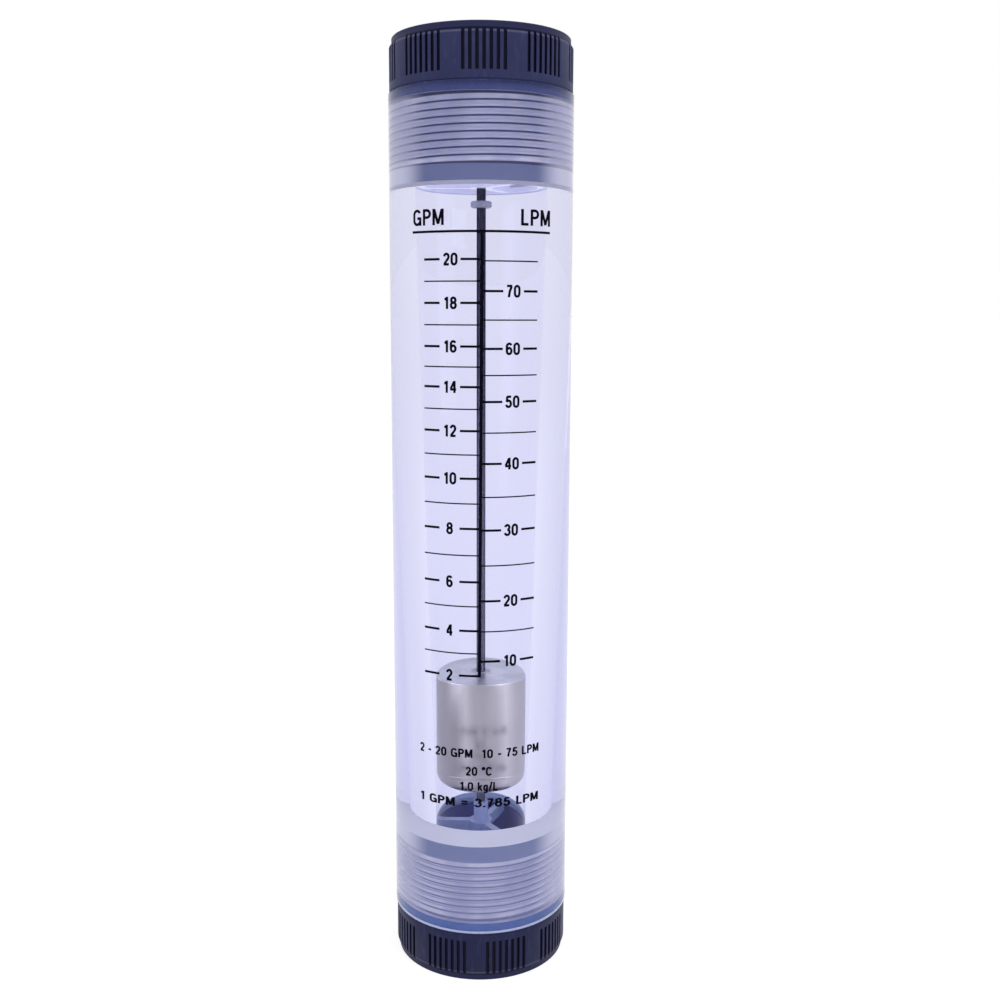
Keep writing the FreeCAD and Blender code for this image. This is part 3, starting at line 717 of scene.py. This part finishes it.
# The heights of the marks, by their numbers.
LEFT_MARKS = {
    20: 238.05, 19: 231.4, 18: 224.8, 17: 218.1, 16: 211.5, 15: 205.2, 14: 199.0,
    13: 192.1, 12: 185.3, 11: 177.8, 10: 170.3, 9: 162.3, 8: 154.3, 7: 145.7, 6: 137.1,
    5: 129.1, 4: 121.1, 3: 113.6, 2: 106.2}
RIGHT_MARKS = {
    75: 237.5, 70: 228.4, 65: 219.6, 60: 210.8, 55: 202.6, 50: 194.4, 45: 184.7,
    40: 175.0, 35: 164.4, 30: 153.8, 25: 142.4, 20: 130.9, 15: 120.9, 10: 111.05}


def arc(degrees):
    """Length round the tube's face of an angle, in mm."""
    return math.radians(degrees) * TUBE_RADIUS


# Letter forms, in capital heights. Each has its width and its strokes, and a stroke is a
# run of points and of arcs (centre x, y, reach x, y, first and last angle).
LETTERS = {
    "0": (0.56, [[(0.28, 0.69, 0.2, 0.235, 0, 180), (0.28, 0.31, 0.2, 0.235, 180, 360),
                  (0.48, 0.69)]]),
    "1": (0.46, [[(0.3, 0.0), (0.3, 1.0)], [(0.07, 0.78), (0.16, 0.8), (0.3, 0.93)]]),
    "2": (0.56, [[(0.28, 0.69, 0.19, 0.235, 175, -35), (0.1, 0.1)],
                 [(0.04, 0.075), (0.51, 0.075)]]),
    "3": (0.55, [[(0.265, 0.725, 0.185, 0.2, 170, -90)],
                 [(0.265, 0.3, 0.205, 0.225, 90, -170)]]),
    "4": (0.58, [[(0.41, 0.0), (0.41, 1.0)], [(0.37, 0.93), (0.08, 0.33)],
                 [(0.03, 0.29), (0.56, 0.29)]]),
    "5": (0.56, [[(0.13, 0.925), (0.5, 0.925)], [(0.16, 0.95), (0.12, 0.48)],
                 [(0.27, 0.335, 0.21, 0.26, 140, -165)]]),
    "6": (0.56, [[(0.28, 0.32, 0.2, 0.245, 0, 360)],
                 [(0.28, 0.69, 0.2, 0.235, 25, 180), (0.08, 0.32)]]),
    "7": (0.54, [[(0.04, 0.925), (0.5, 0.925)], [(0.44, 0.88), (0.28, 0.5), (0.2, 0.0)]]),
    "8": (0.56, [[(0.28, 0.725, 0.18, 0.2, 0, 360)], [(0.28, 0.3, 0.205, 0.225, 0, 360)]]),
    "9": (0.56, [[(0.28, 0.68, 0.2, 0.245, 0, 360)],
                 [(0.28, 0.31, 0.2, 0.235, 205, 360), (0.48, 0.68)]]),
    "G": (0.66, [[(0.32, 0.685, 0.235, 0.24, 22, 180), (0.32, 0.315, 0.235, 0.24, 180, 345)],
                 [(0.575, 0.0), (0.575, 0.5)], [(0.34, 0.45), (0.6, 0.45)]]),
    "P": (0.58, [[(0.09, 0.0), (0.09, 1.0)],
                 [(0.09, 0.925), (0.3, 0.705, 0.21, 0.22, 90, -90), (0.09, 0.485)]]),
    "L": (0.5, [[(0.09, 0.0), (0.09, 1.0)], [(0.09, 0.075), (0.48, 0.075)]]),
    "M": (0.76, [[(0.09, 0.0), (0.09, 1.0)], [(0.67, 0.0), (0.67, 1.0)],
                 [(0.12, 0.97), (0.38, 0.08)], [(0.64, 0.97), (0.38, 0.08)]]),
    "C": (0.64, [[(0.32, 0.685, 0.235, 0.24, 20, 180), (0.32, 0.315, 0.235, 0.24, 180, 340)]]),
    "k": (0.48, [[(0.08, 0.0), (0.08, 1.0)], [(0.11, 0.3), (0.42, 0.7)],
                 [(0.2, 0.44), (0.43, 0.0)]]),
    "g": (0.5, [[(0.24, 0.36, 0.165, 0.29, 0, 360)],
                [(0.41, 0.71), (0.41, -0.02), (0.24, -0.02, 0.17, 0.17, 0, -150)]]),
    "/": (0.34, [[(0.03, -0.05), (0.31, 1.05)]]),
    "°": (0.32, [[(0.16, 0.84, 0.1, 0.1, 0, 360)]]),
    "=": (0.56, [[(0.04, 0.34), (0.52, 0.34)], [(0.04, 0.62), (0.52, 0.62)]]),
    "-": (0.36, [[(0.02, 0.4), (0.34, 0.4)]]),
    ".": (0.2, [[(0.1, 0.0), (0.1, 0.17)]]),
    " ": (0.3, [])}
LETTER_GAP, STROKE = 0.11, 0.205


def middle_line(stroke):
    """The points of a letter's stroke, with its arcs cut into short steps."""
    points = []
    for part in stroke:
        if len(part) == 2:
            points.append(Vector(part))
            continue
        x, y, across, up, first, last = part
        steps = max(6, round(abs(last - first) / 18))
        for step in range(steps + 1):
            angle = math.radians(first + (last - first) * step / steps)
            points.append(Vector((x + across * math.cos(angle), y + up * math.sin(angle))))
    return [point for point, after in zip(points, points[1:] + [Vector((-9, -9))])
            if (point - after).length > 1e-4]


def band_sides(points, half):
    """The two edges of a band along the points, mitred at its corners."""
    ring = (points[0] - points[-1]).length < 1e-3
    sides = []
    for index, point in enumerate(points):
        before = points[index - 1] if index else (points[-2] if ring else None)
        after = points[index + 1] if index + 1 < len(points) else (points[1] if ring else None)
        arriving = (point - before).normalized() if before else (after - point).normalized()
        leaving = (after - point).normalized() if after else arriving
        along = (arriving + leaving).normalized()
        reach = half / max(along.dot(arriving), 0.5)
        across = Vector((-along.y, along.x)) * reach
        sides.append((point + across, point - across))
    return sides


class Print:
    """Flat marks, X round the tube and Y up it, that are then laid on its face."""

    def __init__(self):
        self.mesh = bmesh.new()

    def bar(self, left, right, low, high):
        """A rectangle between four sides, in mm."""
        size = ((right - left) * MM, (high - low) * MM, 1.0, 1.0)
        middle = ((left + right) / 2 * MM, (low + high) / 2 * MM, 0.0)
        bmesh.ops.create_grid(self.mesh, x_segments=1, y_segments=1, size=0.5,
                              matrix=Matrix.Translation(middle) @ Matrix.Diagonal(size))

    def band(self, sides, across, up, size_x, size_y):
        """One stroke: its first end is extruded from place to place."""
        def place(corner):
            x, y = across + corner.x * size_x, up + corner.y * size_y
            return Vector((x * MM, y * MM, 0.0))
        first, *others = sides
        left, right = (self.mesh.verts.new(place(corner)) for corner in first)
        edge = self.mesh.edges.new((left, right))
        for corners in others:
            grown = bmesh.ops.extrude_edge_only(self.mesh, edges=[edge])["geom"]
            edge = next(item for item in grown if isinstance(item, bmesh.types.BMEdge))
            ends = sorted(edge.verts, key=lambda end: (end.co - left.co).length)
            for end, corner in zip(ends, corners):
                end.co = place(corner)
            left = ends[0]

    def words(self, text, middle, base, height, width=None, squeeze=1.0, weight=STROKE):
        """Lettering of that capital height, centred round the tube on middle."""
        length = sum(LETTERS[letter][0] + LETTER_GAP for letter in text) - LETTER_GAP
        size_x = width / length if width else height * squeeze
        across = middle - length * size_x / 2
        for letter in text:
            wide, strokes = LETTERS[letter]
            for stroke in strokes:
                self.band(band_sides(middle_line(stroke), weight / 2), across, base,
                          size_x, height)
            across += (wide + LETTER_GAP) * size_x

    def laid(self, name, ink):
        """The marks cut into narrow strips, given their thickness and bent round the tube."""
        mesh = self.mesh
        strips = int(arc(STRIPS_END) / STRIP)
        for strip in range(-strips, strips + 1):
            bmesh.ops.bisect_plane(
                mesh, geom=mesh.verts[:] + mesh.edges[:] + mesh.faces[:],
                dist=1e-7, plane_co=(strip * STRIP * MM, 0, 0), plane_no=(1, 0, 0))
        raised = bmesh.ops.extrude_face_region(mesh, geom=mesh.faces[:])["geom"]
        for vertex in mesh.verts:
            vertex.co.z = INK_INNER * MM
        for vertex in raised:
            if isinstance(vertex, bmesh.types.BMVert):
                vertex.co.z = INK_OUTER * MM
        for vertex in mesh.verts:
            lean = SCALE_MIDDLE + SCALE_LEAN * (vertex.co.y / MM - LEAN_HEIGHT)
            angle = math.radians(lean) + vertex.co.x / (TUBE_RADIUS * MM)
            radius = TUBE_RADIUS * MM + vertex.co.z
            vertex.co = Vector((radius * math.sin(angle), -radius * math.cos(angle),
                                vertex.co.y))
        bmesh.ops.recalc_face_normals(mesh, faces=mesh.faces)
        return finished(name, mesh, "tube", [ink])


def printed_scale(ink):
    """The scale's frame and units, the marks and figures of both sides, and the note."""
    heading = Print()
    heading.bar(arc(HEAD_LINE_LEFT), arc(HEAD_LINE_RIGHT),
                HEAD_LINE - THICK / 2, HEAD_LINE + THICK / 2)
    heading.bar(-SPINE / 2, SPINE / 2, LEFT_MARKS[2] - THICK / 2, HEAD_LINE)
    for unit, side, width in (("GPM", -1, 11.6), ("LPM", 1, 11.3)):
        heading.words(unit, arc(side * UNIT_PLACE), UNIT_BASE, UNIT_HEIGHT, width,
                      weight=UNIT_STROKE)
    heading.laid("scale_heading", ink)
    for name, marks, side, step, reach in (("gallon", LEFT_MARKS, -1, 2, 36.5),
                                           ("litre", RIGHT_MARKS, 1, 10, 35.4)):
        lines, figures = Print(), Print()
        for number, height in marks.items():
            if number % step:
                spans = [(0.0, reach, THIN)]
            else:
                spans = [(0.0, INNER_MARK_END, THICK), (OUTER_MARK_START, reach, THICK)]
                figures.words(str(number), arc(side * FIGURE_PLACE),
                              height - FIGURE_HEIGHT / 2, FIGURE_HEIGHT)
            for start, stop, weight in spans:
                left, right = sorted((arc(side * start), arc(side * stop)))
                lines.bar(left, right, height - weight / 2, height + weight / 2)
        lines.laid(name + "_lines", ink)
        figures.laid(name + "_figures", ink)
    note = Print()
    for text, base, width in (("2 - 20 GPM  10 - 75 LPM", 78.6, arc(NOTE_WIDTH)),
                              ("20 °C", 72.6, None), ("1.0 kg/L", 67.4, None),
                              ("1 GPM = 3.785 LPM", 61.8, arc(NOTE_WIDTH))):
        note.words(text, 0.0, base, NOTE_HEIGHT, width, NOTE_SQUEEZE)
    note.laid("scale_note", ink)


# ---------------------------------------------------------------------- stage

def soft_lamp(name, place, width, height, watts):
    """A wide lamp that shines on the meter's middle and isn't seen in it."""
    lamp = bpy.data.lights.new(name, "AREA")
    lamp.shape = "RECTANGLE"
    lamp.size, lamp.size_y, lamp.energy = width, height, watts
    holder = bpy.data.objects.new(name, lamp)
    SCENE.collection.objects.link(holder)
    aim = Vector((0.0, 0.0, 0.15)) - Vector(place)
    holder.location = place
    holder.rotation_euler = aim.to_track_quat("-Z", "Y").to_euler()
    holder.visible_camera = holder.visible_glossy = False


def seen(finish):
    """1 for what the camera, gloss and glass look at, and 0 for what lights the meter."""
    def ray(kind):
        return finish.add("ShaderNodeLightPath", output=kind)
    return ray("Is Camera Ray").most(ray("Is Glossy Ray")).most(ray("Is Transmission Ray"))


def studio():
    """A white room: an even sky, a paper floor and two soft lamps."""
    world = bpy.data.worlds.new("studio")
    world.use_nodes = True
    SCENE.world = world
    sky = Finish("studio", tree=world.node_tree)
    soft = 0.62
    strength = soft + (1.0 - soft) * seen(sky)
    sky.tree.links.new(strength.socket, sky.tree.nodes["Background"].inputs["Strength"])
    sky.tree.nodes["Background"].inputs["Color"].default_value = (1.0, 1.0, 1.0, 1.0)

    sheet = bmesh.new()
    bmesh.ops.create_circle(sheet, cap_ends=True, segments=96, radius=40.0)
    data = bpy.data.meshes.new("floor")
    sheet.to_mesh(data)
    sheet.free()
    floor = bpy.data.objects.new("floor", data)
    SCENE.collection.objects.link(floor)
    paper = Finish("floor_paper", {"Base Color": (0.42, 0.42, 0.43, 1.0), "Roughness": 0.9,
                                   "Specular IOR Level": 0.0,
                                   "Emission Color": (1.0, 1.0, 1.0, 1.0)})
    glow = 0.78 * seen(paper)
    paper.tree.links.new(glow.socket, paper.shader.inputs["Emission Strength"])
    data.materials.append(paper.material)

    soft_lamp("key_lamp", (0.9, -0.9, 0.8), width=0.8, height=1.0, watts=9.0)
    soft_lamp("fill_lamp", (-0.9, -0.6, 0.45), width=0.6, height=1.0, watts=4.0)


def camera():
    """The eye, 0.4 m in front of the meter and a little above its middle."""
    stand = (0.00046, -0.4065, 0.2222)
    pan, dip, roll = (math.radians(angle) for angle in (0.844, 8.843, 0.177))
    ahead = Vector((math.sin(pan) * math.cos(dip), math.cos(pan) * math.cos(dip),
                    -math.sin(dip)))
    level = Vector((math.cos(pan), -math.sin(pan), 0.0))
    over = level.cross(ahead)
    right = math.cos(roll) * level + math.sin(roll) * over
    lens = bpy.data.cameras.new("camera")
    lens.lens, lens.sensor_width = 43.6, 36.0
    lens.clip_start = 0.01
    eye = bpy.data.objects.new("camera", lens)
    SCENE.collection.objects.link(eye)
    turn = Matrix((right, right.cross(ahead), -ahead)).transposed()
    eye.matrix_world = Matrix.Translation(stand) @ turn.to_4x4()
    SCENE.camera = eye


# ------------------------------------------------------------------- assembly

steel, rod, fastener = turned_steel(), drawn_steel(), fastener_steel()
rubber, cushion, holder = seal_rubber(), cushion_silicone(), holder_plastic()
nylon, bush = collar_nylon(), bush_plastic()
plastic, ink = fitting_plastic(), scale_ink()
CARRIED = {
    "guide_rod": rod, "float_upper_bush": bush, "float_lower_bush": bush,
    "upper_rod_holder": holder, "lower_rod_holder": holder,
    "upper_rod_washer": fastener, "lower_rod_washer": fastener,
    "upper_rod_nut": fastener, "lower_rod_nut": fastener,
    "upper_cushion_ring": cushion, "lower_cushion_ring": cushion,
    "upper_seal_ring": rubber, "lower_seal_ring": rubber,
    "upper_stop_collar": nylon, "lower_stop_collar": nylon,
    "metering_tube": nylon, "float_body": steel,
    "upper_end_fitting": plastic, "lower_end_fitting": plastic}
for node, finish in CARRIED.items():
    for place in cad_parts[node].material_slots:
        place.link = "OBJECT"
        place.material = finish.material

clear_tube([clear_acrylic(), pocket_acrylic(), thread_acrylic(), relief_acrylic(),
            shoulder_acrylic()])
end_fitting("upper", plastic)
end_fitting("lower", plastic)
steel_float(steel)
printed_scale(ink)
studio()
camera()

SCENE.view_settings.view_transform = "Standard"
